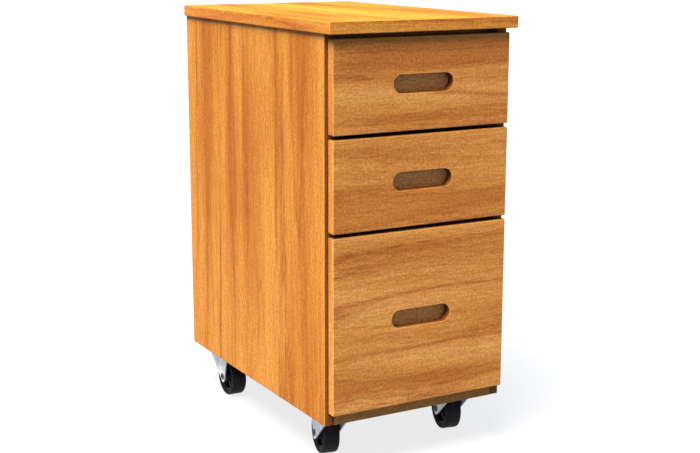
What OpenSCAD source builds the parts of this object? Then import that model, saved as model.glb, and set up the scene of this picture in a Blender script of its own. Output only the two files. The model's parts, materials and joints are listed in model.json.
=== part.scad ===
// Rolling pedestal cabinet: a wooden case on four swivel casters, with two box drawers over a file drawer.
// The origin is on the floor under the middle of the top. +Z is up, the drawers face -Y, and +X is the
// right-hand side seen from the front. Millimetres.

/* [Case] */
// Width over the two side panels
case_w = 350; // [330:1:400]
// Depth of the side panels, front edge to back edge
case_d = 555; // [540:1:620]
// Height of the side panels
case_h = 649; // [630:1:720]
// Thickness of the case boards under the top
board = 18; // [16:0.5:20]
// Thickness of the top
top_t = 20; // [17:0.5:25]
// How far the top stands out past each side
top_side_lip = 4.5; // [0:0.5:12]
// How far the top stands out past the front edges of the sides
top_front_lip = 27; // [20:0.5:40]
// Thickness of the back panel, which lies in a rebate
back_t = 6; // [4:0.5:8]
// Width of the chamfer that eases the visible edges
ease = 0.8; // [0.4:0.1:1.5]

/* [Drawer fronts] */
// Height of the upper and of the middle front
small_front_h = 153; // [140:1:170]
// Thickness of a front
front_t = 17; // [15:0.5:20]
// Air between a closed front and the edges of the side panels
front_standoff = 1; // [0.5:0.1:3]
// Width of side panel edge left showing beside a front
side_reveal = 6; // [2:0.5:10]
// Gap between two fronts
front_gap = 6.5; // [3:0.5:8]
// Gap between the upper front and the top
top_gap = 7.5; // [4:0.5:10]
// Height of bottom panel edge left showing under the lower front
bottom_reveal = 21.5; // [2:0.5:24]
// Width of the finger slot
slot_w = 114; // [80:1:140]
// Height of the finger slot
slot_h = 30; // [24:1:36]

/* [Drawer boxes] */
// Depth of a drawer box
box_d = 500; // [450:5:500]
// Height of the two shallow boxes
small_box_h = 110; // [90:1:120]
// Height of the file drawer's box
file_box_h = 270; // [255:1:275]
// Thickness of a box side, front or back
box_t = 12; // [10:0.5:15]
// Thickness of a box bottom
box_bottom_t = 6; // [4:0.5:8]
// Distance between the two bars that hanging files hang from
file_span = 308; // [300:1:330]

/* [Drawer slides] */
// Width that a slide takes between the case and the box
slide_w = 12.7; // [12.5:0.1:13.5]
// Height of the outer slide member
slide_h = 45; // [35:1:46]
// How far a drawer pulls out
drawer_travel = 480; // [350:5:480]

/* [Casters] */
// Height of a caster, floor to mounting face
caster_h = 86.5; // [86:0.5:100]
// Radius of a wheel
wheel_r = 37.5; // [34:0.5:38]
// Width of a tyre
tyre_w = 29; // [22:0.5:30]
// Distance from the swivel axis back to the wheel's axle
trail = 25; // [20:0.5:28]
// Distance from a side face to the swivel axis of a front caster
front_caster_inset = 49; // [46:0.5:60]
// Distance from a side face to the swivel axis of a rear caster
rear_caster_inset = 39.5; // [38:0.5:42]
// Distance from the front or back edge to the nearer swivel axes
caster_end_inset = 72; // [60:1:100]
// Angle that the front casters are turned by
front_swivel = 10; // [0:1:20]
// Angle that the rear casters are turned by
rear_swivel = 1; // [0:1:20]

/* [Hidden] */
DRAWERS = ["upper", "middle", "lower"];
DRAWER_PARTS = ["front", "box_front", "box_sides", "box_back", "box_bottom", "screws",
                "slide_outers", "slide_middles", "slide_inners"];
CASTERS = ["front_left", "front_right", "rear_left", "rear_right"];
CASTER_PARTS = ["plate", "fork", "axle", "hub", "tyre"];
CASE_PARTS = ["top_panel", "left_side_panel", "right_side_panel", "bottom_panel", "back_panel",
              "front_rail", "back_rail", "case_dowels", "case_screws", "back_screws", "caster_screws"];
$fn = 48;

// Colours
WOOD = [0.80, 0.52, 0.27];
PLY = [0.86, 0.72, 0.52];
ZINC = [0.78, 0.79, 0.80];
STEEL = [0.62, 0.63, 0.65];
BLACK = [0.07, 0.07, 0.07];

// Small sizes that the parts share
cut = 1;              // how far a cutting tool runs past a face
fill = 0.05;          // air round a dowel or a screw in its hole
air = 0.3;            // air between pieces that move past each other

// Case
z_case = caster_h;
z_top = z_case + case_h;
y_front = top_front_lip - (case_d + top_front_lip) / 2;
y_back = y_front + case_d;
y_middle = (y_front + y_back) / 2;
half_w = case_w / 2;
half_in = half_w - board;
rebate = board / 2;
rail_d = 70;
rail_set_back = 30;
y_front_rail = y_front + rail_set_back + rail_d / 2;
y_back_rail = y_back - back_t - rail_d / 2;
z_bottom_mid = z_case + board / 2;
z_rail_mid = z_top - board / 2;

// Dowels: radius, whole length, length in the side panel, and where they stand along Y
dowel_r = 4;
dowel_l = 30;
dowel_in_side = 12;
dowel_front_inset = 34;
dowel_back_inset = 29;
dowel_rail_offset = 18;
DOWELS = concat(
    [for (y = [y_front + dowel_front_inset, y_middle, y_back - dowel_back_inset]) [y, z_bottom_mid]],
    [for (y = [y_front_rail, y_back_rail], s = [-1, 1]) [y + s * dowel_rail_offset, z_rail_mid]]
);

// Screws: shank radius, head radius, head height
screw_r = 2;
head_r = 4;
head_h = 1.4;
recess_r = 2.2;
recess_w = 0.9;
recess_d = 0.9;
top_screw_l = 31;
top_screw_x = 110;
TOP_SCREWS = [for (x = [-1, 0, 1] * top_screw_x, y = [y_front_rail, y_back_rail]) [x, y]];
back_screw_l = 25;
back_head_r = 3.4;
back_head_h = 1.8;
back_screw_inset = 4.5;
back_screw_lift = 62;                         // height of a side's lowest back screw over its lower edge
back_screw_step = 170;
back_screw_x = 90;
BACK_SCREWS = concat(
    [for (s = [-1, 1], k = [0 : 3]) [s * (half_in + back_screw_inset), z_case + back_screw_lift + k * back_screw_step]],
    [for (s = [-1, 1], z = [z_bottom_mid, z_rail_mid]) [s * back_screw_x, z]]
);

// Drawers
front_w = case_w - 2 * side_reveal;
file_front_h = case_h - top_gap - bottom_reveal - 2 * (small_front_h + front_gap);
FRONT_H = [small_front_h, small_front_h, file_front_h];
FRONT_Z = [
    z_top - top_gap - small_front_h,
    z_top - top_gap - 2 * small_front_h - front_gap,
    z_case + bottom_reveal
];
y_front_back = y_front - front_standoff;
BOX_H = [small_box_h, small_box_h, file_box_h];
box_lift = 15;
function box_z(d) = FRONT_Z[d] + box_lift;
box_out = half_in - slide_w;
box_in = box_out - box_t;
groove_lift = 10;
groove_depth = box_t / 2;
groove_play = 0.2;
y_box_back = y_front_back + box_d;
bottom_reach = groove_depth - groove_play;
drawer_screw_x = 100;
drawer_screw_l = 23;
function drawer_screw_z(d) = [for (s = [-1, 1]) FRONT_Z[d] + FRONT_H[d] / 2 + s * BOX_H[d] / 4];
file_bar_t = 3;
file_bar_h = 14;
file_hook_t = 1.5;
file_hook_h = 8;
file_bar_inset = 20;
y_file_bar = y_front_back + box_t + file_bar_inset;

// Slides. A member's section is drawn in (u, z), where u runs from the case side to the box side.
slide_hold = 20;                              // length that still overlaps when a drawer is pulled out
slide_l = drawer_travel + slide_hold;
slide_set_back = 2;
y_slide = y_front + slide_set_back;
sheet_t = 1.2;
race = 4;                                     // room that the balls take between two members
outer_flange = 9.5;
middle_u = 3.2;
middle_flange = 11.2;
inner_u = 6;
slide_lift = 45;
function slide_z(d) = box_z(d) + slide_lift;
middle_h = slide_h - 2 * sheet_t - 2 * race;
inner_h = middle_h - 2 * sheet_t - 2 * race;
slide_screw_start = 35;
slide_screw_step = 215;
SLIDE_SCREWS = [for (k = [0 : 2]) y_slide + slide_screw_start + k * slide_screw_step];
slide_screw_l = 12;
box_screw_l = 9;

// Casters
plate_w = 66;
plate_t = 2.5;
plate_corner = 6;
plate_hole = 26.5;                            // distance of a screw from the plate's middle lines
plate_screw_l = 13;
fork_t = 2.5;
fork_half_w = 20.5;
fork_front_reach = 34;                        // how far the crown reaches from the swivel axis
fork_back_reach = 42;
crown_z = caster_h - 7;                       // top face of the fork's crown
crown_r = 23;
race_cup_r = 20.5;
race_cup_h = 3.5;
kingpin_r = 4;
kingpin_head_r = 7;
kingpin_head_h = 2.2;
spin_play = 0.06;                             // air round a pin that something turns on
axle_r = 4;
axle_head_r = 6;
axle_head_h = 1.5;
axle_hollow_r = 2.4;
axle_hollow_d = 4;
leg_front_drop = 3;                           // height of a fork leg's upright ends under the crown
leg_back_drop = 9;
tip_r = 7;                                    // rounded lower end of a fork leg
tip_drop = 4.5;
hub_play = 0.5;
hub_half_w = fork_half_w - fork_t - hub_play;
tyre_t = 10.5;
tyre_shoulder = 4;
hub_r = wheel_r - tyre_t;
hub_boss_r = 10;
web_half_w = 5;
rim_t = 3;
SWIVELS = concat(
    [for (s = [-1, 1]) [s * (half_w - front_caster_inset), y_front + caster_end_inset]],
    [for (s = [-1, 1]) [s * (half_w - rear_caster_inset), y_back - caster_end_inset]]
);
PLATE_HOLES = [for (x = [-1, 1], y = [-1, 1]) [x, y] * plate_hole];
TURNS = [-front_swivel, -front_swivel, 180 - rear_swivel, 180 - rear_swivel];

// ---------- shared shapes ----------

// A rectangle with its corners cut off by c, from the corner at [0, 0]
module cut_corners(w, h, c)
    polygon([[c, 0], [w - c, 0], [w, c], [w, h - c], [w - c, h], [c, h], [0, h - c], [0, c]]);

// A board with every edge eased by a small chamfer
module eased_board(size, c = ease)
    intersection() {
        linear_extrude(size.z) cut_corners(size.x, size.y, c);
        translate([0, size.y, 0]) rotate([90, 0, 0]) linear_extrude(size.y) cut_corners(size.x, size.z, c);
        rotate([90, 0, 90]) linear_extrude(size.x) cut_corners(size.y, size.z, c);
    }

// A square about the origin with round corners
module round_square(w, r) {
    square([w - 2 * r, w], center = true);
    square([w, w - 2 * r], center = true);
    for (x = [-1, 1], y = [-1, 1])
        translate([x, y] * (w / 2 - r)) circle(r);
}

// A slot about the origin with round ends
module round_slot(w, h) {
    square([w - h, h], center = true);
    for (s = [-1, 1])
        translate([s * (w - h) / 2, 0]) circle(h / 2);
}

// A rod from point p along X, Y or Z, by length l in the direction of its sign
module rod_x(p, l, r) translate(p) rotate([0, 90 * sign(l), 0]) cylinder(h = abs(l), r = r);
module rod_y(p, l, r) translate(p) rotate([-90 * sign(l), 0, 0]) cylinder(h = abs(l), r = r);
module rod_z(p, l, r) translate(p) mirror([0, 0, l < 0 ? 1 : 0]) cylinder(h = abs(l), r = r);

// The two slots of a cross recess, cut into a head whose face is at z = 0
module cross_recess()
    for (a = [0, 90])
        rotate(a) translate([-recess_r, -recess_w / 2, -recess_d])
            cube([2 * recess_r, recess_w, recess_d + cut]);

// A pan-head screw: its head's underside is at z = 0, and its shank runs down
module pan_screw(l, r = screw_r)
    difference() {
        union() {
            translate([0, 0, -l]) cylinder(h = l, r = r);
            cylinder(h = head_h, r = head_r);
        }
        translate([0, 0, head_h]) cross_recess();
    }

// ---------- case ----------

module top_panel()
    color(WOOD) difference() {
        translate([-half_w - top_side_lip, y_front - top_front_lip, z_top])
            eased_board([case_w + 2 * top_side_lip, case_d + top_front_lip, top_t]);
        for (p = TOP_SCREWS)
            rod_z([p.x, p.y, z_top - cut], top_screw_l - board + cut + fill, screw_r + fill);
    }

// A side panel, drawn on the right for s = 1 and mirrored for s = -1
module side_panel(s)
    color(WOOD) mirror([s < 0 ? 1 : 0, 0, 0]) difference() {
        translate([half_in, y_front, z_case]) eased_board([board, case_d, case_h]);
        translate([half_in - cut, y_back - back_t, z_case - cut])
            cube([rebate + cut, back_t + cut, case_h + 2 * cut]);
        for (p = DOWELS)
            rod_x([half_in - cut, p.x, p.y], dowel_in_side + cut + fill, dowel_r + fill);
        for (d = [0 : 2], y = SLIDE_SCREWS)
            rod_x([half_in - cut, y, slide_z(d)], slide_screw_l + cut, screw_r + fill);
        for (p = BACK_SCREWS)
            if (p.x > half_in)
                rod_y([p.x, y_back + cut, p.y], -back_screw_l - cut - fill, screw_r + fill);
        caster_screw_holes();
    }

// The dowel holes in both ends of a board between the sides, for dowels at height z
module end_dowel_holes(z)
    for (s = [-1, 1], p = DOWELS)
        if (p.y == z)
            rod_x([s * (half_in + cut), p.x, z], -s * (dowel_l - dowel_in_side + cut + fill), dowel_r + fill);

// The back screws' holes in a board between the sides, for screws at height z
module rear_screw_holes(z)
    for (p = BACK_SCREWS)
        if (p.y == z)
            rod_y([p.x, y_back, z], -back_screw_l - fill, screw_r + fill);

// The caster screws' holes in the underside of the case
module caster_screw_holes()
    for (p = SWIVELS, q = PLATE_HOLES)
        rod_z([p.x + q.x, p.y + q.y, z_case - cut], plate_screw_l + cut + fill, screw_r + fill);

module bottom_panel()
    color(WOOD) difference() {
        translate([-half_in, y_front, z_case]) cube([2 * half_in, case_d - back_t, board]);
        end_dowel_holes(z_bottom_mid);
        rear_screw_holes(z_bottom_mid);
        caster_screw_holes();
    }

// A rail under the top, drawn about y
module rail(y)
    color(WOOD) difference() {
        translate([-half_in, y - rail_d / 2, z_top - board]) cube([2 * half_in, rail_d, board]);
        end_dowel_holes(z_rail_mid);
        if (y > 0) rear_screw_holes(z_rail_mid);
        for (p = TOP_SCREWS)
            if (p.y == y) rod_z([p.x, y, z_top - board - cut], board + 2 * cut, screw_r + fill);
    }

module back_panel()
    color(WOOD) difference() {
        translate([-half_in - rebate, y_back - back_t, z_case])
            cube([2 * (half_in + rebate), back_t, case_h]);
        for (p = BACK_SCREWS) {
            rod_y([p.x, y_back + cut, p.y], -back_t - 2 * cut, screw_r + fill);
            translate([p.x, y_back, p.y]) rotate([90, 0, 0])
                cylinder(h = back_head_h, r1 = back_head_r + fill, r2 = screw_r + fill);
        }
    }

module case_dowels()
    color(PLY) for (s = [-1, 1], p = DOWELS)
        rod_x([s * (half_in + dowel_in_side), p.x, p.y], -s * dowel_l, dowel_r);

module case_screws()
    color(ZINC) {
        for (p = TOP_SCREWS)
            translate([p.x, p.y, z_top - board]) mirror([0, 0, 1]) pan_screw(top_screw_l);
        for (s = [-1, 1], d = [0 : 2], y = SLIDE_SCREWS)
            translate([s * (half_in - sheet_t), y, slide_z(d)]) rotate([0, -90 * s, 0])
                pan_screw(slide_screw_l);
    }

module back_screws()
    color(ZINC) for (p = BACK_SCREWS)
        translate([p.x, y_back, p.y]) rotate([90, 0, 0]) difference() {
            union() {
                cylinder(h = back_head_h, r1 = back_head_r, r2 = screw_r);
                cylinder(h = back_screw_l, r = screw_r);
            }
            mirror([0, 0, 1]) cross_recess();
        }

module caster_screws()
    color(ZINC) for (p = SWIVELS, q = PLATE_HOLES)
        translate([p.x + q.x, p.y + q.y, z_case - plate_t]) mirror([0, 0, 1])
            pan_screw(plate_t + plate_screw_l);

// ---------- drawers: d is 0 for the upper, 1 for the middle and 2 for the lower one ----------

module drawer_front(d)
    color(WOOD) difference() {
        translate([-front_w / 2, y_front_back - front_t, FRONT_Z[d]])
            eased_board([front_w, front_t, FRONT_H[d]]);
        translate([0, y_front_back + cut, FRONT_Z[d] + FRONT_H[d] / 2]) rotate([90, 0, 0])
            linear_extrude(front_t + 2 * cut) round_slot(slot_w, slot_h);
        for (x = [-1, 1], z = drawer_screw_z(d))
            rod_y([x * drawer_screw_x, y_front_back + cut, z],
                  -(drawer_screw_l - box_t) - cut - fill, screw_r + fill);
    }

module drawer_box_front(d)
    color(PLY) difference() {
        translate([-box_in, y_front_back, box_z(d)]) cube([2 * box_in, box_t, BOX_H[d]]);
        translate([-box_in - cut, y_front_back + box_t - groove_depth, box_z(d) + groove_lift])
            cube([2 * (box_in + cut), groove_depth + cut, box_bottom_t + groove_play]);
        for (x = [-1, 1], z = drawer_screw_z(d))
            rod_y([x * drawer_screw_x, y_front_back - cut, z], box_t + 2 * cut, screw_r + fill);
    }

module drawer_box_sides(d)
    color(PLY) for (s = [0, 1]) mirror([s, 0, 0]) difference() {
        translate([box_in, y_front_back, box_z(d)]) cube([box_t, box_d, BOX_H[d]]);
        translate([box_in - cut, y_front_back + box_t - groove_depth, box_z(d) + groove_lift])
            cube([groove_depth + cut, box_d, box_bottom_t + groove_play]);
        for (y = SLIDE_SCREWS)
            rod_x([box_out + cut, y, slide_z(d)], -box_screw_l - cut, screw_r + fill);
    }

module drawer_box_back(d)
    color(PLY)
        translate([-box_in, y_box_back - box_t, box_z(d) + groove_lift + box_bottom_t + groove_play])
            cube([2 * box_in, box_t, BOX_H[d] - groove_lift - box_bottom_t - groove_play]);

module drawer_box_bottom(d)
    color(PLY)
        translate([-box_in - bottom_reach, y_front_back + box_t - bottom_reach,
                   box_z(d) + groove_lift + groove_play / 2])
            cube([2 * (box_in + bottom_reach), box_d - box_t + bottom_reach, box_bottom_t]);

module drawer_screws(d)
    color(ZINC) {
        for (x = [-1, 1], z = drawer_screw_z(d))
            translate([x * drawer_screw_x, y_front_back + box_t, z]) rotate([-90, 0, 0])
                pan_screw(drawer_screw_l);
        for (s = [-1, 1], y = SLIDE_SCREWS)
            translate([s * (box_out + sheet_t), y, slide_z(d)]) rotate([0, 90 * s, 0])
                pan_screw(box_screw_l);
    }

module file_bars()
    color(ZINC) for (k = [0, 1]) translate([0, y_file_bar + k * file_span, box_z(2) + file_box_h]) {
        translate([-box_in, 0, -file_bar_h]) cube([2 * box_in, file_bar_t, file_bar_h + file_hook_t]);
        for (s = [0, 1]) mirror([s, 0, 0]) {
            translate([box_in, 0, 0]) cube([box_t + file_hook_t, file_bar_t, file_hook_t]);
            translate([box_out, 0, -file_hook_h]) cube([file_hook_t, file_bar_t, file_hook_h]);
        }
    }

// ---------- drawer slides ----------

// A channel section in (u, z) with its web at u0 and its flanges running to u1
module channel(u0, u1, h)
    difference() {
        translate([min(u0, u1), -h / 2]) square([abs(u1 - u0), h]);
        translate([u0 < u1 ? u0 + sheet_t : u1 - cut, -h / 2 + sheet_t])
            square([abs(u1 - u0) - sheet_t + cut, h - 2 * sheet_t]);
    }

// Both slide members of one drawer, made from the section given as a child
module slide_pair(d)
    for (s = [0, 1]) mirror([s, 0, 0])
        translate([half_in, y_slide, slide_z(d)]) rotate([90, 0, 180]) linear_extrude(slide_l) children();

// The screw holes in the web of both members of a pair
module slide_screw_holes(d, u)
    for (s = [-1, 1], y = SLIDE_SCREWS)
        rod_x([s * (half_in - u + cut), y, slide_z(d)], -s * (sheet_t + 2 * cut), screw_r + fill);

module slide_outers(d)
    color(STEEL) difference() {
        slide_pair(d) channel(0, outer_flange, slide_h);
        slide_screw_holes(d, 0);
    }

module slide_middles(d)
    color(STEEL) slide_pair(d) channel(middle_u, middle_flange, middle_h);

module slide_inners(d)
    color(STEEL) difference() {
        slide_pair(d) channel(slide_w, inner_u, inner_h);
        slide_screw_holes(d, slide_w - sheet_t);
    }

// ---------- casters: c is the caster's number in CASTERS ----------

// Puts its child at caster c, with the swivel axis as Z and the wheel trailing along +Y
module at_caster(c) translate([SWIVELS[c].x, SWIVELS[c].y, 0]) rotate(TURNS[c]) children();

// The plate and its king pin don't turn with the caster
module caster_plate(c)
    color(ZINC) translate([SWIVELS[c].x, SWIVELS[c].y, 0]) {
        difference() {
            translate([0, 0, caster_h - plate_t])
                linear_extrude(plate_t) round_square(plate_w, plate_corner);
            for (q = PLATE_HOLES)
                rod_z([q.x, q.y, caster_h - plate_t - cut], plate_t + 2 * cut, screw_r + fill);
        }
        translate([0, 0, crown_z + air])
            cylinder(h = caster_h - plate_t - crown_z - air, r = race_cup_r - air);
        translate([0, 0, crown_z - fork_t - air]) cylinder(h = fork_t + 2 * air + fill, r = kingpin_r);
        translate([0, 0, crown_z - fork_t - air - kingpin_head_h])
            cylinder(h = kingpin_head_h, r = kingpin_head_r);
    }

// The point where a line from p touches the circle of radius r about c, on side s
function touch(p, c, r, s) =
    let (v = c - p, a = atan2(v.y, v.x) + s * asin(r / norm(v)))
    p + sqrt(v * v - r * r) * [cos(a), sin(a)];

// A fork leg's outline in (y, z)
module leg_outline() {
    tip = [trail, wheel_r - tip_drop];
    front = [-fork_front_reach, crown_z - fork_t - leg_front_drop];
    back = [fork_back_reach, crown_z - fork_t - leg_back_drop];
    polygon([
        [-fork_front_reach, crown_z], front, touch(front, tip, tip_r, -1), tip,
        touch(back, tip, tip_r, 1), back, [fork_back_reach, crown_z]
    ]);
    translate(tip) circle(tip_r);
}

module caster_fork(c)
    color(ZINC) at_caster(c) difference() {
        union() {
            translate([-fork_half_w, -fork_front_reach, crown_z - fork_t])
                cube([2 * fork_half_w, fork_front_reach + fork_back_reach, fork_t]);
            translate([0, 0, crown_z - fork_t]) cylinder(h = fork_t + race_cup_h, r = crown_r);
            for (s = [0, 1]) mirror([s, 0, 0])
                translate([fork_half_w - fork_t, 0, 0]) rotate([90, 0, 90])
                    linear_extrude(fork_t) leg_outline();
        }
        translate([0, 0, crown_z]) cylinder(h = race_cup_h + cut, r = race_cup_r);
        translate([0, 0, crown_z - fork_t - cut]) cylinder(h = fork_t + 2 * cut, r = kingpin_r + spin_play);
        rod_x([-fork_half_w - cut, trail, wheel_r], 2 * (fork_half_w + cut), axle_r + fill);
    }

module caster_axle(c)
    color(STEEL) at_caster(c) difference() {
        union() {
            rod_x([-fork_half_w, trail, wheel_r], 2 * fork_half_w, axle_r);
            for (s = [-1, 1]) rod_x([s * fork_half_w, trail, wheel_r], s * axle_head_h, axle_head_r);
        }
        for (s = [-1, 1])
            rod_x([s * (fork_half_w + axle_head_h + cut), trail, wheel_r],
                  -s * (cut + axle_hollow_d), axle_hollow_r);
    }

// Puts a shape turned about Z onto the wheel's axis
module on_axle() translate([0, trail, wheel_r]) rotate([0, 90, 0]) children();

module caster_hub(c)
    color(BLACK) at_caster(c) on_axle() rotate_extrude() difference() {
        union() {
            translate([0, -hub_half_w]) square([hub_boss_r, 2 * hub_half_w]);
            translate([0, -web_half_w]) square([hub_r, 2 * web_half_w]);
            translate([hub_r - rim_t, -tyre_w / 2 + rim_t]) square([rim_t, tyre_w - 2 * rim_t]);
        }
        translate([-cut, -hub_half_w - cut]) square([axle_r + spin_play + cut, 2 * (hub_half_w + cut)]);
    }

module caster_tyre(c)
    color(BLACK) at_caster(c) on_axle() rotate_extrude() {
        translate([hub_r, -tyre_w / 2]) square([wheel_r - hub_r - tyre_shoulder, tyre_w]);
        translate([hub_r, -tyre_w / 2 + tyre_shoulder])
            square([wheel_r - hub_r, tyre_w - 2 * tyre_shoulder]);
        for (s = [-1, 1])
            translate([wheel_r - tyre_shoulder, s * (tyre_w / 2 - tyre_shoulder)]) circle(tyre_shoulder);
    }

// ---------- the assembly ----------

top_panel();
side_panel(-1);  // left_side_panel
side_panel(1);  // right_side_panel
bottom_panel();
back_panel();
rail(y_front_rail);  // front_rail
rail(y_back_rail);  // back_rail
case_dowels();
case_screws();
back_screws();
caster_screws();
for (d = [0 : 2]) {
    drawer_front(d);
    drawer_box_front(d);
    drawer_box_sides(d);
    drawer_box_back(d);
    drawer_box_bottom(d);
    drawer_screws(d);
    slide_outers(d);
    slide_middles(d);
    slide_inners(d);
}
file_bars();  // lower_file_bars
for (c = [0 : 3]) {
    caster_plate(c);
    caster_fork(c);
    caster_axle(c);
    caster_hub(c);
    caster_tyre(c);
}
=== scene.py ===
"""Rolling pedestal cabinet: the looks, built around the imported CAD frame."""

import json
import math

import bmesh
import bpy
from mathutils import Matrix, Vector


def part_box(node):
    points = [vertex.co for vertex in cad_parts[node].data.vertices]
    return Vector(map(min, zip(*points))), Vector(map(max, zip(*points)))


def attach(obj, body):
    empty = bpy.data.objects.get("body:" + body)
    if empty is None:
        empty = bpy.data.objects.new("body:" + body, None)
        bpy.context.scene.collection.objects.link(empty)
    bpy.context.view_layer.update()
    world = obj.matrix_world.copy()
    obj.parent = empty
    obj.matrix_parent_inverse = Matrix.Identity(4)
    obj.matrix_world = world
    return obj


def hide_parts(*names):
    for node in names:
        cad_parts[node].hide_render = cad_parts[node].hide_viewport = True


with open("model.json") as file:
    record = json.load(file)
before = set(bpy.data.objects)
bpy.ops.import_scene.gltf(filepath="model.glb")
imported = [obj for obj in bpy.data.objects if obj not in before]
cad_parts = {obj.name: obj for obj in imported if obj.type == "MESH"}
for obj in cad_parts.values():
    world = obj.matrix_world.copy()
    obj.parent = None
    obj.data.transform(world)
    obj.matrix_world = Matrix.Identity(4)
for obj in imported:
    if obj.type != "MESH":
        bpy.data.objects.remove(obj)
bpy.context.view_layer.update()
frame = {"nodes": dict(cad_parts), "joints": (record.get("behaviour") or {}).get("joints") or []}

MM = 0.001
X, Y, Z = 0, 1, 2
DRAWERS = ("upper", "middle", "lower")
CASTERS = ("front_left", "front_right", "rear_left", "rear_right")
JOINTS = {j["name"]: j for j in frame["joints"]}
UV_NAME = "grain"
EDGE_NAME = "edge_mask"


# ---------- sizes that the frame doesn't state ----------

# Boards and drawer fronts: the radii of their eased edges, and the finger slot
EASE_STEPS = 4
BOARD_EASE = 1.3 * MM
FRONT_EASE = 1.6 * MM
FRONT_CORNER = 2.2 * MM
SLOT_EASE = 1.2 * MM
SLOT_HALF_W = 57.0 * MM
SLOT_HALF_H = 15.0 * MM
# How many steps a front's outline has round a corner, up a side and along its top
CORNER_STEPS = 4
SIDE_STEPS = 6
TOP_STEPS = 10

# Caster wheels
WHEEL_STEPS = 96
SHARP_ANGLE = math.radians(40)
WHEEL_R = 37.5 * MM
TYRE_HALF_W = 14.5 * MM
TYRE_SHOULDER = 3.4 * MM
SHOULDER_STEPS = 8
HUB_R = 27.0 * MM
HUB_HALF_W = 17.5 * MM
HUB_WEB = 4.0 * MM
HUB_BOSS_R = 9.5 * MM
HUB_BORE_R = 4.06 * MM
RIBS = 6
RIB_THICKNESS = 2.0 * MM
FORK_EASE = 0.5 * MM

# Drawer slides
SLIDE_SHEET = 1.2 * MM
BALLS = 12
BALL_R = 1.7 * MM
CAGE_WIDTH = 4.2 * MM
CAGE_SHEET = 0.7 * MM
OUTER_RACE_INSET = 7.4 * MM
INNER_RACE_INSET = 8.6 * MM

# How far the grain pattern moves, in metres, from board to board, from one side of a board to the
# other, and from one axis that a face looks along to the next
BOARD_SHIFT = (1.37, 0.83)
SIDE_SHIFT = (0.61, 0.47)
AXIS_SHIFT = 2.3


# ---------- node trees ----------

class Shader:
    """One material's node tree, with short calls that add a node and return its output."""

    def __init__(self, name):
        self.material = bpy.data.materials.new(name)
        self.material.use_nodes = True
        self.tree = self.material.node_tree
        self.tree.nodes.clear()
        self.surface = self.tree.nodes.new("ShaderNodeBsdfPrincipled")
        output = self.tree.nodes.new("ShaderNodeOutputMaterial")
        self.tree.links.new(self.surface.outputs["BSDF"], output.inputs["Surface"])

    def plug(self, socket, value):
        """Links value to the socket if it is another node's output, and sets it if it is a number."""
        if isinstance(value, bpy.types.NodeSocket):
            self.tree.links.new(value, socket)
        else:
            socket.default_value = value

    def node(self, kind, inputs=(), output=0, **settings):
        """Adds a node with these inputs and settings, and returns one of its outputs."""
        made = self.tree.nodes.new(kind)
        for key, value in settings.items():
            setattr(made, key, value)
        for key, value in dict(inputs).items():
            self.plug(made.inputs[key], value)
        return made.outputs[output]

    def position(self):
        """The place in the frame, since every object sits at the origin."""
        return self.node("ShaderNodeTexCoord", output=3)

    def edge_mask(self):
        return self.node("ShaderNodeAttribute", output=2, attribute_name=EDGE_NAME)

    def math(self, operation, *values):
        return self.node("ShaderNodeMath", enumerate(values), operation=operation)

    def vector(self, operation, *values):
        return self.node("ShaderNodeVectorMath", enumerate(values), operation=operation)

    def noise(self, vector, scale, detail, roughness=0.5, distortion=0.0):
        """Noise from 0 to 1 at vector times the three numbers of scale."""
        inputs = {
            "Vector": self.vector("MULTIPLY", vector, scale),
            "Scale": 1.0,
            "Detail": detail,
            "Roughness": roughness,
            "Distortion": distortion,
        }
        return self.node("ShaderNodeTexNoise", inputs, noise_dimensions="3D")

    def ramp(self, value, stops):
        """A colour ramp of (position, colour) stops."""
        made = self.tree.nodes.new("ShaderNodeValToRGB")
        elements = made.color_ramp.elements
        while len(elements) < len(stops):
            elements.new(0.5)
        for element, (position, colour) in zip(elements, stops):
            element.position = position
            element.color = colour
        self.plug(made.inputs["Fac"], value)
        return made.outputs["Color"]

    def span(self, value, low, high, to_low=0.0, to_high=1.0):
        """Value from low to high, mapped smoothly onto to_low to to_high and held outside it."""
        inputs = {
            "Value": value,
            "From Min": low,
            "From Max": high,
            "To Min": to_low,
            "To Max": to_high,
        }
        return self.node("ShaderNodeMapRange", inputs, interpolation_type="SMOOTHSTEP")

    def mix(self, factor, a, b, blend="MIX"):
        """Colour a, with b mixed in or blended over it by factor."""
        inputs = {0: factor, 6: a, 7: b}
        return self.node("ShaderNodeMix", inputs, output=2, data_type="RGBA", blend_type=blend)

    def shade(self, colour, value, depth):
        """Colour made lighter where value is low, and darker and redder where it is high."""
        shares = (0.6, 1.0, 1.2)
        light = [1 + depth * k for k in shares]
        dark = [1 - depth * k for k in shares]
        tint = self.mix(self.span(value, 0.25, 0.75), (*light, 1.0), (*dark, 1.0))
        return self.mix(1.0, colour, tint, "MULTIPLY")

    def bump(self, height, distance, strength):
        inputs = {"Height": height, "Distance": distance, "Strength": strength}
        return self.node("ShaderNodeBump", inputs)

    def set(self, **inputs):
        """Fills in the surface's sockets by name, and returns the material."""
        for key, value in inputs.items():
            self.plug(self.surface.inputs[key.replace("_", " ")], value)
        return self.material


def srgb(r, g, b):
    """A colour given from 0 to 255, as the shader's linear numbers, with an alpha of 1."""
    parts = [c / 255 for c in (r, g, b)]
    linear = [c / 12.92 if c <= 0.04045 else ((c + 0.055) / 1.055) ** 2.4 for c in parts]
    return (*linear, 1.0)


# ---------- materials ----------
# A noise's scale is in cells to the metre. In wood it is along the grain, across it and through it.

def along_grain(s, along, across):
    """The place on a CAD node in wood's own order: along the grain, across it and through it."""
    parts = s.tree.nodes.new("ShaderNodeSeparateXYZ")
    s.plug(parts.inputs[0], s.position())
    through = 3 - along - across
    order = {i: parts.outputs[k] for i, k in enumerate((along, across, through))}
    return s.node("ShaderNodeCombineXYZ", order)


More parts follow.
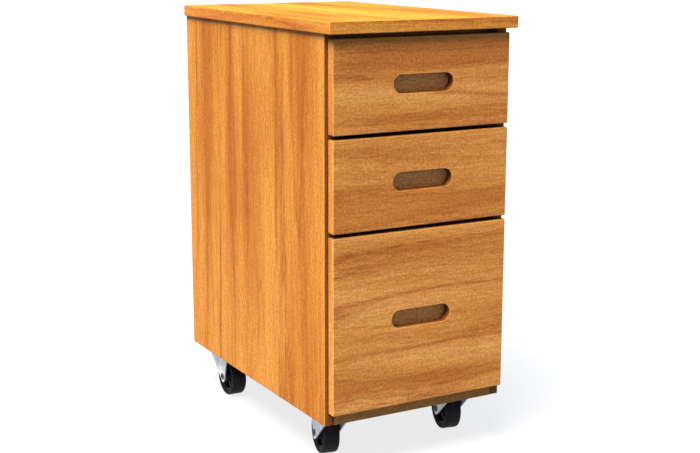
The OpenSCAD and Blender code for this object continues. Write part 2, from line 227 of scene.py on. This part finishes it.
def wander_and_knots(s, place):
    """Place moved across the grain, so that lines wander a little and swell round a few small knots.

    The second value is 1 in the heart of a knot.
    """
    wander = s.noise(place, (1.8, 4.0, 4.0), detail=2.0)
    ripple = s.noise(place, (12.0, 30.0, 30.0), detail=1.0)
    cell = s.tree.nodes.new("ShaderNodeTexVoronoi")
    s.plug(cell.inputs["Vector"], s.vector("MULTIPLY", place, (3.1, 7.5, 7.5)))
    s.plug(cell.inputs["Scale"], 1.0)
    chosen = s.span(s.node("ShaderNodeSeparateColor", {0: cell.outputs["Color"]}), 0.80, 0.81)
    swell = s.math("MULTIPLY", s.span(cell.outputs["Distance"], 0.36, 0.0), chosen)
    heart = s.math("MULTIPLY", s.span(cell.outputs["Distance"], 0.10, 0.02), chosen)
    shift = s.math("MULTIPLY_ADD", wander, 0.026, s.math("MULTIPLY", swell, 0.02))
    shift = s.math("MULTIPLY_ADD", ripple, 0.004, shift)
    return s.vector("ADD", place, s.node("ShaderNodeCombineXYZ", {1: shift})), heart


def lacquered_wood(name, grain=None, tone=None):
    """Satin lacquered wood. It reads the boards' own grain map, or the axes in grain on a CAD node.

    Tone multiplies its colour; for the copies on the fronts, the top, the dark edges and the slot
    walls it is painted light and painted shade.
    """
    s = Shader(name)
    if grain is None:
        place = s.node("ShaderNodeUVMap", uv_map=UV_NAME)
        wear_and_highlight = s.edge_mask()
    else:
        place = along_grain(s, *grain)
        wear_and_highlight = 0.0
    place, heart = wander_and_knots(s, place)

    # Broad bands of colour, with ragged edges from the figure and the dashes
    figure = s.noise(place, (5.0, 75.0, 75.0), detail=1.0)
    dash = s.noise(place, (32.0, 300.0, 300.0), detail=1.0)
    band = s.math("ADD", s.noise(place, (1.3, 13.0, 13.0), detail=1.0), -0.08)
    band = s.math("MULTIPLY_ADD", dash, 0.06, band)
    band = s.math("MULTIPLY_ADD", figure, 0.10, band)
    colour = s.ramp(band, (
        (0.32, srgb(218, 149, 70)),
        (0.46, srgb(208, 137, 60)),
        (0.56, srgb(197, 124, 51)),
        (0.64, srgb(183, 105, 41)),
        (0.72, srgb(192, 117, 46)),
    ))

    # Darker streaks with soft sides, and a thin broken vein along the middle of each
    streak = s.math("ADD", s.noise(place, (0.8, 12.0, 12.0), detail=1.0), -0.025)
    streak = s.math("MULTIPLY_ADD", figure, 0.05, streak)
    off_streak = s.math("ABSOLUTE", s.math("SUBTRACT", streak, 0.5))
    strong = s.span(s.noise(place, (3.0, 9.0, 9.0), detail=1.0), 0.38, 0.60, 0.05, 0.55)
    colour = s.mix(s.span(off_streak, 0.044, 0.0, 0.0, strong), colour, srgb(168, 88, 34))
    vein = s.span(off_streak, 0.009, 0.0, 0.0, s.span(dash, 0.35, 0.65, 0.0, 0.40))
    colour = s.mix(vein, colour, srgb(120, 60, 22))

    # Figure, dashes, fibres and specks, then pores, knots and paler eased edges, part wear and part
    # painted highlight
    fibre = s.noise(place, (150.0, 950.0, 950.0), detail=1.0)
    speck = s.noise(place, (230.0, 260.0, 260.0), detail=1.0)
    for pattern, depth in ((figure, 0.08), (dash, 0.12), (fibre, 0.12), (speck, 0.20)):
        colour = s.shade(colour, pattern, depth)
    pore = s.span(s.noise(place, (70.0, 2100.0, 2100.0), detail=1.0), 0.64, 0.74)
    colour = s.mix(s.math("MULTIPLY", pore, 0.50), colour, srgb(128, 68, 24))
    colour = s.mix(s.math("MULTIPLY", heart, 0.60), colour, srgb(146, 78, 28))
    # Paler eased edges: part wear, part a painted highlight where the easing catches light
    colour = s.mix(s.math("MULTIPLY", wear_and_highlight, 0.25), colour, srgb(240, 170, 74))
    if tone:
        colour = s.mix(1.0, colour, (*tone, 1.0), "MULTIPLY")

    relief = s.math("SUBTRACT", s.math("MULTIPLY", fibre, 0.5), pore)
    polish = s.math("MULTIPLY", wear_and_highlight, -0.06)
    return s.set(
        Base_Color=colour,
        Roughness=s.math("ADD", s.span(dash, 0.3, 0.7, 0.42, 0.52), polish),
        Specular_IOR_Level=0.03,
        Normal=s.bump(relief, 0.12 * MM, 0.5),
    )


def plywood(name, grain, thickness):
    """Stained plywood for a CAD node: veneer on its faces, and the plies' lines on its edges."""
    s = Shader(name)
    place = along_grain(s, *grain)
    normal = s.node("ShaderNodeTexCoord", output=1)
    facing = s.node("ShaderNodeSeparateXYZ", {0: normal}, output=thickness)
    on_edge = s.span(s.math("ABSOLUTE", facing), 0.75, 0.65)

    figure = s.noise(place, (1.3, 26.0, 26.0), detail=3.0, roughness=0.6, distortion=0.6)
    fibre = s.noise(place, (22.0, 900.0, 900.0), detail=2.0, roughness=0.6)
    speck = s.noise(place, (200.0, 320.0, 320.0), detail=1.0)
    face = s.ramp(figure, (
        (0.30, srgb(253, 168, 84)),
        (0.50, srgb(247, 159, 77)),
        (0.60, srgb(232, 145, 66)),
        (0.72, srgb(248, 161, 79)),
    ))
    face = s.shade(s.shade(face, fibre, 0.10), speck, 0.30)

    pair_of_plies = 3.0 * MM
    depth = s.node("ShaderNodeSeparateXYZ", {0: s.position()}, output=thickness)
    ply = s.math("FRACT", s.math("MULTIPLY", depth, 1 / pair_of_plies))
    ply = s.math("ABSOLUTE", s.math("SUBTRACT", ply, 0.5))
    cells = s.noise(place, (60.0, 60.0, 1400.0), detail=2.0)
    edge = s.mix(s.span(ply, 0.2, 0.3), srgb(160, 102, 50), srgb(244, 162, 84))
    edge = s.shade(edge, cells, 0.10)

    relief = s.math("ADD", fibre, s.math("MULTIPLY", ply, on_edge))
    return s.set(
        Base_Color=s.mix(on_edge, face, edge),
        Roughness=s.span(figure, 0.3, 0.7, 0.44, 0.54),
        Specular_IOR_Level=0.10,
        Normal=s.bump(relief, 0.10 * MM, 0.4),
    )


def plated_steel(name, base, rough, metallic):
    """Zinc plated pressed steel: faintly cloudy, with fine rolling lines and small pits."""
    s = Shader(name)
    place = s.position()
    cloud = s.noise(place, (38.0, 38.0, 38.0), detail=4.0, roughness=0.6)
    lines = s.noise(place, (260.0, 260.0, 2200.0), detail=2.0)
    pits = s.span(s.noise(place, (900.0, 900.0, 900.0), detail=1.0), 0.70, 0.80)
    darker = [c - 26 for c in base]
    colour = s.mix(s.span(cloud, 0.35, 0.65), srgb(*base), srgb(*darker))
    colour = s.mix(s.math("MULTIPLY", pits, 0.35), colour, srgb(120, 118, 112))
    cloudy = s.span(cloud, 0.3, 0.7, rough - 0.05, rough + 0.10)
    relief = s.math("SUBTRACT", s.math("MULTIPLY", lines, 0.4), pits)
    return s.set(
        Base_Color=colour,
        Metallic=metallic,
        Roughness=s.math("ADD", cloudy, s.math("MULTIPLY", lines, 0.06)),
        Normal=s.bump(relief, 0.08 * MM, 0.35),
    )


def rubber(name):
    """Soft black tread rubber, dusty where it meets the floor."""
    s = Shader(name)
    place = s.position()
    cloud = s.noise(place, (70.0, 70.0, 70.0), detail=5.0, roughness=0.65)
    grain = s.noise(place, (1600.0, 1600.0, 1600.0), detail=2.0)
    colour = s.mix(s.span(cloud, 0.35, 0.75), srgb(9, 9, 9), srgb(18, 17, 17))
    dust = s.math("MULTIPLY", s.edge_mask(), s.span(cloud, 0.45, 0.65))
    colour = s.mix(s.math("MULTIPLY", dust, 0.10), colour, srgb(84, 80, 74))
    return s.set(
        Base_Color=colour,
        Roughness=s.span(cloud, 0.3, 0.7, 0.52, 0.68),
        Specular_IOR_Level=0.15,
        Normal=s.bump(grain, 0.10 * MM, 0.45),
    )


def moulded_plastic(name):
    """Black moulded nylon with a fine spark-eroded texture."""
    s = Shader(name)
    place = s.position()
    grain = s.noise(place, (2200.0, 2200.0, 2200.0), detail=3.0)
    cloud = s.noise(place, (90.0, 90.0, 90.0), detail=3.0)
    return s.set(
        Base_Color=s.mix(cloud, srgb(11, 11, 12), srgb(19, 19, 20)),
        Roughness=s.span(grain, 0.3, 0.7, 0.36, 0.50),
        Normal=s.bump(grain, 0.06 * MM, 0.4),
    )


def pale_floor():
    """A white glow on a dark grey sheet: the floor looks white, and the shadow on it stays light."""
    s = Shader("floor")
    cloud = s.noise(s.position(), (0.8, 0.8, 0.8), detail=3.0)
    return s.set(
        Base_Color=s.mix(cloud, (0.10, 0.10, 0.10, 1.0), (0.11, 0.11, 0.11, 1.0)),
        Roughness=0.75,
        Emission_Color=(1.0, 1.0, 1.0, 1.0),
        Emission_Strength=0.80,
    )


# ---------- mesh helpers ----------

def place_object(name, data):
    """A new object in the scene, which shows a mesh, a light or a camera."""
    placed = bpy.data.objects.new(name, data)
    bpy.context.scene.collection.objects.link(placed)
    return placed


def new_piece(name, mesh, body, materials, stands_for=()):
    """A shown piece that rides on a body. Its mesh is already in the frame's own coordinates."""
    piece = place_object(name, mesh)
    for material in materials:
        mesh.materials.append(material)
    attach(piece, body)
    if stands_for:
        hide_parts(*stands_for)


def map_grain(mesh, grain, seed, ease):
    """Maps each face in metres along and across the grain, and marks the eased edges, which the wood
    paints paler: part wear, part painted highlight.
    """
    points = [v.co for v in mesh.vertices]
    low = Vector([min(p[k] for p in points) for k in range(3)])
    high = Vector([max(p[k] for p in points) for k in range(3)])
    size = high - low
    uv = mesh.uv_layers.new(name=UV_NAME)
    for face in mesh.polygons:
        normal = [abs(c) for c in face.normal]
        facing = normal.index(max(normal))
        if facing == grain:
            along = max((k for k in range(3) if k != facing), key=lambda k: size[k])
        else:
            along = grain
        across = 3 - facing - along
        side = 1.0 if face.normal[facing] > 0 else 2.0
        shift_along = BOARD_SHIFT[0] * seed + SIDE_SHIFT[0] * side
        shift_across = BOARD_SHIFT[1] * seed + SIDE_SHIFT[1] * side + AXIS_SHIFT * facing
        for loop in face.loop_indices:
            p = points[mesh.loops[loop].vertex_index]
            uv.data[loop].uv = (p[along] + shift_along, p[across] + shift_across)

    # The points of an eased edge are this near to the sides of the box along two axes or more.
    near = 0.72 * ease
    edge_weight = mesh.attributes.new(EDGE_NAME, "FLOAT", "POINT")
    for k, p in enumerate(points):
        close = sum(1 for i in range(3) if min(p[i] - low[i], high[i] - p[i]) < near)
        edge_weight.data[k].value = 1.0 if close >= 2 else 0.0


def round_only_edges(mesh):
    """Shades a board's faces flat and its eased edges smooth, so that the faces don't look bulged."""
    square_to_axis = 0.9999
    for face in mesh.polygons:
        face.use_smooth = max(abs(c) for c in face.normal) < square_to_axis


def face_with(mesh, material, way):
    """Gives the faces that look along way another material, for the painted shade on a side's front
    edge and the painted light on the top's upper face.
    """
    looks_that_way = 0.8
    mesh.materials.append(material)
    for face in mesh.polygons:
        if face.normal.dot(way) > looks_that_way:
            face.material_index = 1


def board(name, outline, low_z, high_z, grain, seed):
    """A board with this outline in (x, y), rounded edges, and its grain along one axis."""
    bm = bmesh.new()
    lower = [bm.verts.new((x, y, low_z)) for x, y in outline]
    upper = [bm.verts.new((x, y, high_z)) for x, y in outline]
    bm.faces.new(lower)
    bm.faces.new(upper)
    for k in range(len(outline)):
        bm.faces.new((lower[k - 1], lower[k], upper[k], upper[k - 1]))
    bmesh.ops.recalc_face_normals(bm, faces=list(bm.faces))
    bmesh.ops.bevel(
        bm,
        geom=[e for e in bm.edges if e.is_convex],
        offset=BOARD_EASE,
        offset_type="OFFSET",
        segments=EASE_STEPS,
        profile=0.5,
        affect="EDGES",
        clamp_overlap=True,
    )
    bmesh.ops.recalc_face_normals(bm, faces=list(bm.faces))
    mesh = bpy.data.meshes.new(name)
    bm.to_mesh(mesh)
    bm.free()
    map_grain(mesh, grain, seed, BOARD_EASE)
    round_only_edges(mesh)
    return mesh


def rings_mesh(name, rings):
    """A mesh of closed rings of points, each joined to the next, and the last to the first."""
    count = len(rings[0])
    points = [tuple(p) for ring in rings for p in ring]
    faces = []
    for r in range(len(rings)):
        a = r * count
        b = (r + 1) % len(rings) * count
        for k in range(count):
            n = (k + 1) % count
            faces.append((a + k, a + n, b + n, b + k))
    mesh = bpy.data.meshes.new(name)
    mesh.from_pydata(points, [], faces)
    bm = bmesh.new()
    bm.from_mesh(mesh)
    bmesh.ops.recalc_face_normals(bm, faces=list(bm.faces))
    bm.to_mesh(mesh)
    bm.free()
    mesh.polygons.foreach_set("use_smooth", [True] * len(mesh.polygons))
    return mesh


# ---------- boards ----------

def top_board(rim_painted_light, upper_face_painted_light):
    """The top, with its grain running front to back. Its edges and underside are a lighter copy of the
    wood, painted light, and its upper face has a copy of its own with less blue, painted light against
    the sky's pale reflection.
    """
    low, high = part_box("top_panel")
    outline = ((low.x, low.y), (high.x, low.y), (high.x, high.y), (low.x, high.y))
    mesh = board("top_board", outline, low.z, high.z, Y, 1)
    new_piece(mesh.name, mesh, "cabinet", [rim_painted_light], ["top_panel"])
    face_with(mesh, upper_face_painted_light, Vector((0, 0, 1)))


def side_board(side, seed, wood, front_edge_painted_shade):
    """An upright board, with a rebate down its inner rear edge that the back panel sits in."""
    low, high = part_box(f"{side}_side_panel")
    back_low, back_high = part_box("back_panel")
    if side == "left":
        outside, inside, rebate = low.x, high.x, back_low.x
    else:
        outside, inside, rebate = high.x, low.x, back_high.x
    outline = (
        (outside, low.y),
        (inside, low.y),
        (inside, back_low.y),
        (rebate, back_low.y),
        (rebate, high.y),
        (outside, high.y),
    )
    mesh = board(f"{side}_side_board", outline, low.z, high.z, Z, seed)
    new_piece(mesh.name, mesh, "cabinet", [wood], [f"{side}_side_panel"])
    # The front edge gets a darkened copy of the wood: painted shade, for the recess beside the overlay
    # fronts
    face_with(mesh, front_edge_painted_shade, Vector((0, -1, 0)))


# ---------- drawer fronts ----------

def rounded_outline(half_w, half_h, radius):
    """Points round a rectangle with round corners, from the top's left end, clockwise."""
    # Each corner's side in x and in z, and the angle that its arc starts at
    corners = ((1, 1, 90), (1, -1, 0), (-1, -1, -90), (-1, 1, 180))
    straights = (TOP_STEPS, SIDE_STEPS, TOP_STEPS, SIDE_STEPS)
    arcs = []
    for sx, sz, start in corners:
        cx, cz = sx * (half_w - radius), sz * (half_h - radius)
        angles = [math.radians(start - 90 * k / CORNER_STEPS) for k in range(CORNER_STEPS + 1)]
        arcs.append([(cx + radius * math.cos(a), cz + radius * math.sin(a)) for a in angles])
    points = []
    for k, steps in enumerate(straights):
        (x0, z0), (x1, z1) = arcs[k - 1][-1], arcs[k][0]
        for i in range(1, steps):
            t = i / steps
            points.append((x0 + (x1 - x0) * t, z0 + (z1 - z0) * t))
        points.extend(arcs[k])
    return points


def stadium_outline(half_w, radius):
    """Points round a slot with round ends, one for each point of rounded_outline."""
    flat = half_w - radius
    half_turn = 2 * CORNER_STEPS + SIDE_STEPS
    points = []
    for side in (1, -1):
        for i in range(1, TOP_STEPS):
            points.append((side * (-flat + 2 * flat * i / TOP_STEPS), side * radius))
        for i in range(half_turn + 1):
            a = math.radians(90 - 180 * i / half_turn)
            points.append((side * (flat + radius * math.cos(a)), side * radius * math.sin(a)))
    return points


def drawer_front(drawer, seed, wood, upper_edge_painted_shade, slot_wall_painted_shade):
    """An overlay front with eased edges and a finger slot right through it.

    Its upper edge and its slot's walls have darkened copies of the wood of their own: painted shade,
    in the gap above the front and in the slot's recess.
    """
    low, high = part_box(f"{drawer}_front")
    half_w, half_h = (high.x - low.x) / 2, (high.z - low.z) / 2
    cx, cz = (high.x + low.x) / 2, (high.z + low.z) / 2

    def outer(inset, y):
        outline = rounded_outline(half_w - inset, half_h - inset, FRONT_CORNER - inset)
        return [Vector((cx + x, y, cz + z)) for x, z in outline]

    def inner(outset, y):
        outline = stadium_outline(SLOT_HALF_W + outset, SLOT_HALF_H + outset)
        return [Vector((cx + x, y, cz + z)) for x, z in outline]

    # Rings from the front face back along the outer edge, then forward through the slot
    quarter = [math.radians(90 * k / EASE_STEPS) for k in range(EASE_STEPS + 1)]
    turn = [(1 - math.sin(a), 1 - math.cos(a)) for a in quarter]
    rings = [outer(FRONT_EASE * s, low.y + FRONT_EASE * c) for s, c in turn]
    rings += [outer(FRONT_EASE * c, high.y - FRONT_EASE * s) for s, c in turn]
    rings += [inner(SLOT_EASE * s, high.y - SLOT_EASE * c) for s, c in turn]
    rings += [inner(SLOT_EASE * c, low.y + SLOT_EASE * s) for s, c in turn]
    mesh = rings_mesh(f"{drawer}_drawer_front", rings)
    map_grain(mesh, X, seed, FRONT_EASE)
    round_only_edges(mesh)

    # Which way a face looks tells the slot's walls and the upper edge, both painted shade, from the
    # flat of the front.
    wall_below, upper_above = 0.6, 0.3
    reach_x, reach_z = SLOT_HALF_W + SLOT_EASE, SLOT_HALF_H + SLOT_EASE
    materials = [wood, upper_edge_painted_shade, slot_wall_painted_shade]
    for face in mesh.polygons:
        in_slot = abs(face.center.x - cx) < reach_x and abs(face.center.z - cz) < reach_z
        if in_slot and abs(face.normal.y) < wall_below:
            face.material_index = materials.index(slot_wall_painted_shade)
        elif not in_slot and face.normal.z > upper_above:
            face.material_index = materials.index(upper_edge_painted_shade)
    new_piece(mesh.name, mesh, f"{drawer}_drawer", materials, [f"{drawer}_front"])


# ---------- casters ----------

def spokes(axis, count, first=0.0):
    """Evenly spaced directions round the axis. The first is that share of a step past straight up."""
    up = Vector((0, 0, 1))
    across = axis.cross(up).normalized()
    angles = [2 * math.pi * (k + first) / count for k in range(count)]
    return [up * math.cos(a) + across * math.sin(a) for a in angles]


def revolve(name, profile, centre, axis):
    """A closed outline of (distance along the axis, radius) points, turned about the axis."""
    rings = [
        [centre + axis * u + spoke * r for u, r in profile]
        for spoke in spokes(axis, WHEEL_STEPS)
    ]
    mesh = rings_mesh(name, rings)
    mesh.set_sharp_from_angle(angle=SHARP_ANGLE)
    return mesh


def arc_points(centre, radius, start, end, steps):
    """Points of an arc in a revolved outline, from one angle to another, in degrees."""
    angles = [math.radians(start + (end - start) * k / steps) for k in range(steps + 1)]
    return [(centre[0] + radius * math.cos(a), centre[1] + radius * math.sin(a)) for a in angles]


def mirrored(half):
    """A revolved outline from its right half, which runs from the middle outwards and back."""
    return half + [(-u, r) for u, r in reversed(half)]


def caster_tyre(caster, body, centre, axis, black_rubber):
    """A tyre with a flat tread, round shoulders and a raised ring on each side."""
    shoulder_u, shoulder_r = TYRE_HALF_W - TYRE_SHOULDER, WHEEL_R - TYRE_SHOULDER
    half = [(0.0, WHEEL_R)]
    half += arc_points((shoulder_u, shoulder_r), TYRE_SHOULDER, 84, 12, SHOULDER_STEPS)
    half += [
        (TYRE_HALF_W - 0.1 * MM, shoulder_r - 0.6 * MM),
        (TYRE_HALF_W - 1.0 * MM, shoulder_r - 1.4 * MM),
        (TYRE_HALF_W - 1.2 * MM, HUB_R + 2.2 * MM),
        (TYRE_HALF_W - 0.5 * MM, HUB_R + 1.4 * MM),
        (TYRE_HALF_W - 0.7 * MM, HUB_R + 0.3 * MM),
        (TYRE_HALF_W - 1.6 * MM, HUB_R),
    ]
    # The two halves share the tread's middle point, so one of the two is dropped.
    mesh = revolve(f"{caster}_tyre", mirrored(half)[1:], centre, axis)

    # Dust lies on the outermost millimetre, and thins out over the next three.
    full, fade = WHEEL_R - 1 * MM, 3 * MM
    edge_weight = mesh.attributes.new(EDGE_NAME, "FLOAT", "POINT")
    for k, v in enumerate(mesh.vertices):
        off = v.co - centre
        reach = (off - axis * off.dot(axis)).length
        edge_weight.data[k].value = max(0.0, min(1.0, 1 + (reach - full) / fade))
    new_piece(mesh.name, mesh, body, [black_rubber], [f"{caster}_caster_tyre"])


def caster_hub(caster, body, centre, axis, black_plastic):
    """A hub with a boss round the axle, a thin web and a rim that carries the tyre."""
    rim_half_w = TYRE_HALF_W - 2.8 * MM
    outline = mirrored([
        (HUB_HALF_W, HUB_BORE_R),
        (HUB_HALF_W, HUB_BOSS_R - 0.8 * MM),
        (HUB_HALF_W - 0.8 * MM, HUB_BOSS_R),
        (HUB_WEB + 1.6 * MM, HUB_BOSS_R + 0.6 * MM),
        (HUB_WEB, HUB_BOSS_R + 2.4 * MM),
        (HUB_WEB, HUB_R - 4.4 * MM),
        (HUB_WEB + 1.2 * MM, HUB_R - 3.0 * MM),
        (rim_half_w - 0.8 * MM, HUB_R - 2.6 * MM),
        (rim_half_w, HUB_R - 1.8 * MM),
        (rim_half_w, HUB_R),
    ])
    mesh = revolve(f"{caster}_hub", outline, centre, axis)
    add_ribs(mesh, centre, axis, rim_half_w - 1.8 * MM)
    new_piece(mesh.name, mesh, body, [black_plastic], [f"{caster}_caster_hub"])


def add_ribs(mesh, centre, axis, crest):
    """Radial ribs on both sides of a hub's web. They taper upwards, and slope down toward the rim."""
    root, tip = HUB_BOSS_R - 0.5 * MM, HUB_R - 2.2 * MM
    foot, drop = HUB_WEB - 0.6 * MM, 2.0 * MM
    crest_share = 0.72
    # A rib's corners in the order that the loops below make them
    quads = ((0, 1, 3, 2), (4, 6, 7, 5), (0, 2, 6, 4), (1, 5, 7, 3), (0, 4, 5, 1), (2, 3, 7, 6))
    bm = bmesh.new()
    bm.from_mesh(mesh)
    for side in (1, -1):
        for spoke in spokes(axis, RIBS, 0.5):
            wide = axis.cross(spoke) * (RIB_THICKNESS / 2)
            corners = []
            for r, top in ((root, crest), (tip, crest - drop)):
                for u, share in ((foot, 1.0), (top, crest_share)):
                    middle = centre + spoke * r + axis * (side * u)
                    for w in (-1, 1):
                        corners.append(bm.verts.new(middle + wide * (w * share)))
            made = [bm.faces.new([corners[i] for i in quad]) for quad in quads]
            bmesh.ops.recalc_face_normals(bm, faces=made)
    bm.to_mesh(mesh)
    bm.free()


def caster_wheel(caster, black_rubber, black_plastic):
    """A caster's tyre and hub, placed on the joint that they spin on."""
    joint = JOINTS[f"{caster}_wheel_spin"]
    centre, axis = Vector(joint["pos_m"]), Vector(joint["axis"]).normalized()
    body = f"{caster}_wheel"
    caster_tyre(caster, body, centre, axis, black_rubber)
    caster_hub(caster, body, centre, axis, black_plastic)


# ---------- slides ----------

def ball_strip(bm, x, z, first_y, last_y):
    """One strip of sheet with a row of balls in it, the balls in the second material."""
    for v in bmesh.ops.create_cube(bm, size=1.0)["verts"]:
        v.co = Vector((
            x + v.co.x * CAGE_WIDTH,
            (first_y + last_y) / 2 + v.co.y * (last_y - first_y),
            z + v.co.z * CAGE_SHEET,
        ))
    for k in range(BALLS):
        y = first_y + (last_y - first_y) * (k + 0.5) / BALLS
        made = bmesh.ops.create_uvsphere(
            bm, u_segments=12, v_segments=8, radius=BALL_R, matrix=Matrix.Translation((x, y, z))
        )
        for v in made["verts"]:
            for f in v.link_faces:
                f.material_index = 1
                f.smooth = True


def ball_cages(drawer, steel, ball_steel):
    """The cages of a drawer's two slides: strips with balls, above and below each moving member."""
    low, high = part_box(f"{drawer}_slide_middles")
    inner_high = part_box(f"{drawer}_slide_inners")[1]
    outer_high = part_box(f"{drawer}_slide_outers")[1]
    middle_z = (low.z + high.z) / 2
    length = high.y - low.y
    # Each race's half height, distance in from the case's side, and start and end along the member
    races = (
        ((high.z + outer_high.z - SLIDE_SHEET) / 2 - middle_z, OUTER_RACE_INSET, 0.52, 0.96),
        ((high.z - SLIDE_SHEET + inner_high.z) / 2 - middle_z, INNER_RACE_INSET, 0.04, 0.48),
    )
    bm = bmesh.new()
    for half, inset, start, end in races:
        for side in (-1, 1):
            x = side * (outer_high.x - inset)
            for way in (-1, 1):
                z = middle_z + way * half
                ball_strip(bm, x, z, low.y + length * start, low.y + length * end)
    mesh = bpy.data.meshes.new(f"{drawer}_ball_cages")
    bm.to_mesh(mesh)
    bm.free()
    new_piece(mesh.name, mesh, f"{drawer}_slide_middle", [steel, ball_steel])


# ---------- the model ----------

def dress(nodes, material, ease=0.0):
    """Gives CAD nodes a material, and rounds their edges if ease is given."""
    for name in nodes:
        node = frame["nodes"][name]
        node.data.materials.clear()
        node.data.materials.append(material)
        if ease:
            weld = node.modifiers.new("weld", "WELD")
            weld.merge_threshold = 0.01 * MM
            bevel = node.modifiers.new("ease", "BEVEL")
            bevel.width = ease
            bevel.segments = 2
            bevel.limit_method = "ANGLE"
            bevel.angle_limit = math.radians(35)
            bevel.harden_normals = True


def build_case():
    """The wooden boards and the drawer fronts. Each material's tone lightens or darkens its wood:
    painted light on the fronts and the top, painted shade on the dark edges and the slot walls.
    """
    wood = lacquered_wood("wood", tone=(0.97, 0.87, 0.71))
    # A lighter, bluer copy for the fronts: painted light
    wood_fronts_painted_light = lacquered_wood("wood_fronts_painted_light", tone=(1.15, 1.14, 1.36))
    # A dark copy for the slot walls: painted shade in the recess
    slot_wall_painted_shade = lacquered_wood("slot_wall_painted_shade", tone=(0.30, 0.30, 0.36))
    # A lighter copy for the top's edges and underside: painted light
    wood_rim_painted_light = lacquered_wood("wood_rim_painted_light", tone=(1.20, 1.19, 1.10))
    # A copy with less blue for the top's upper face: painted light against the sky's pale reflection
    wood_top_painted_light = lacquered_wood("wood_top_painted_light", tone=(1.03, 1.01, 0.45))
    # A dark copy for the sides' front edges and the fronts' upper edges: painted shade in the gaps
    wood_edge_painted_shade = lacquered_wood("wood_edge_painted_shade", tone=(0.46, 0.47, 0.50))
    wood_across = lacquered_wood("wood_across", (X, Z), tone=(1.15, 1.20, 1.40))
    wood_up = lacquered_wood("wood_up", (Z, X))

    # The numbers are seeds: each board shows its own stretch of the grain.
    top_board(wood_rim_painted_light, wood_top_painted_light)
    side_board("left", 2, wood, wood_edge_painted_shade)
    side_board("right", 3, wood, wood_edge_painted_shade)
    for seed, drawer in zip((4, 8, 12), DRAWERS):
        drawer_front(drawer, seed, wood_fronts_painted_light, wood_edge_painted_shade, slot_wall_painted_shade)
    dress(["bottom_panel", "front_rail", "back_rail"], wood_across)
    dress(["back_panel"], wood_up)


def build_fittings():
    """The drawer boxes, the slides, the fasteners and the casters."""
    zinc = plated_steel("zinc", (240, 238, 232), rough=0.38, metallic=0.35)
    slide_steel = plated_steel("slide_steel", (176, 178, 180), rough=0.32, metallic=1.0)
    axle_steel = plated_steel("axle_steel", (84, 84, 84), rough=0.40, metallic=1.0)
    ball_steel = plated_steel("ball_steel", (206, 208, 210), rough=0.12, metallic=1.0)
    black_rubber = rubber("black_rubber")
    black_plastic = moulded_plastic("black_plastic")
    ply_sides = plywood("ply_sides", (Y, Z), X)
    ply_across = plywood("ply_across", (X, Z), Y)
    ply_flat = plywood("ply_flat", (Y, X), Z)

    for drawer in DRAWERS:
        dress([f"{drawer}_box_sides"], ply_sides)
        dress([f"{drawer}_box_front", f"{drawer}_box_back"], ply_across)
        dress([f"{drawer}_box_bottom"], ply_flat)
        dress([f"{drawer}_slide_{part}" for part in ("outers", "middles", "inners")], slide_steel)
        dress([f"{drawer}_screws"], zinc)
        ball_cages(drawer, slide_steel, ball_steel)
    dress(["case_dowels"], ply_across)
    dress(["lower_file_bars", "case_screws", "back_screws", "caster_screws"], zinc)
    for caster in CASTERS:
        dress([f"{caster}_caster_plate", f"{caster}_caster_fork"], zinc, ease=FORK_EASE)
        dress([f"{caster}_caster_axle"], axle_steel)
        caster_wheel(caster, black_rubber, black_plastic)


# ---------- the studio ----------

FLOOR_REACH = 400.0
SKY_COLOUR = (0.80, 1.12, 1.85, 1.0)
SKY_STRENGTH = 0.28
SUN_STRENGTH = 8.6
SUN_COLOUR = (1.0, 0.975, 0.865)
TO_SUN = (-3.55, -1.95, 7.6)
SUN_SPREAD = math.radians(32)
SENSOR_MM = 36.0
LENS_MM = 69.05
EYE = (-1.1764, -2.1244, 0.8837)
HEADING = math.radians(29.41)
TILT = math.radians(-12.18)
ROLL = math.radians(0.1)


def add_floor():
    """A wide floor that doesn't throw its own glow onto the cabinet."""
    signs = ((-1, -1), (1, -1), (1, 1), (-1, 1))
    mesh = bpy.data.meshes.new("floor")
    mesh.from_pydata([(x * FLOOR_REACH, y * FLOOR_REACH, 0) for x, y in signs], [], [(0, 1, 2, 3)])
    mesh.materials.append(pale_floor())
    floor = place_object("floor", mesh)
    floor.visible_diffuse = False


def add_light():
    """A broad warm light from high on the left, and a cool sky that fills its shadows."""
    world = bpy.data.worlds.new("studio")
    bpy.context.scene.world = world
    world.use_nodes = True
    background = world.node_tree.nodes["Background"]
    background.inputs["Color"].default_value = SKY_COLOUR
    background.inputs["Strength"].default_value = SKY_STRENGTH

    sun = bpy.data.lights.new("key", "SUN")
    sun.energy = SUN_STRENGTH
    sun.angle = SUN_SPREAD
    sun.color = SUN_COLOUR
    lamp = place_object("key", sun)
    lamp.rotation_euler = Vector(TO_SUN).to_track_quat("Z", "Y").to_euler()


def add_camera():
    """A long lens in front of the cabinet's left corner, looking a little down."""
    camera = bpy.data.cameras.new("camera")
    camera.sensor_width = SENSOR_MM
    camera.lens = LENS_MM
    camera.clip_end = 2.5 * FLOOR_REACH
    eye = place_object("camera", camera)
    eye.location = EYE
    turn = Matrix.Rotation(-HEADING, 3, "Z") @ Matrix.Rotation(math.pi / 2 + TILT, 3, "X")
    eye.rotation_euler = (turn @ Matrix.Rotation(ROLL, 3, "Z")).to_euler()
    bpy.context.scene.camera = eye
    bpy.context.scene.view_settings.view_transform = "Standard"


build_case()
build_fittings()
add_floor()
add_light()
add_camera()
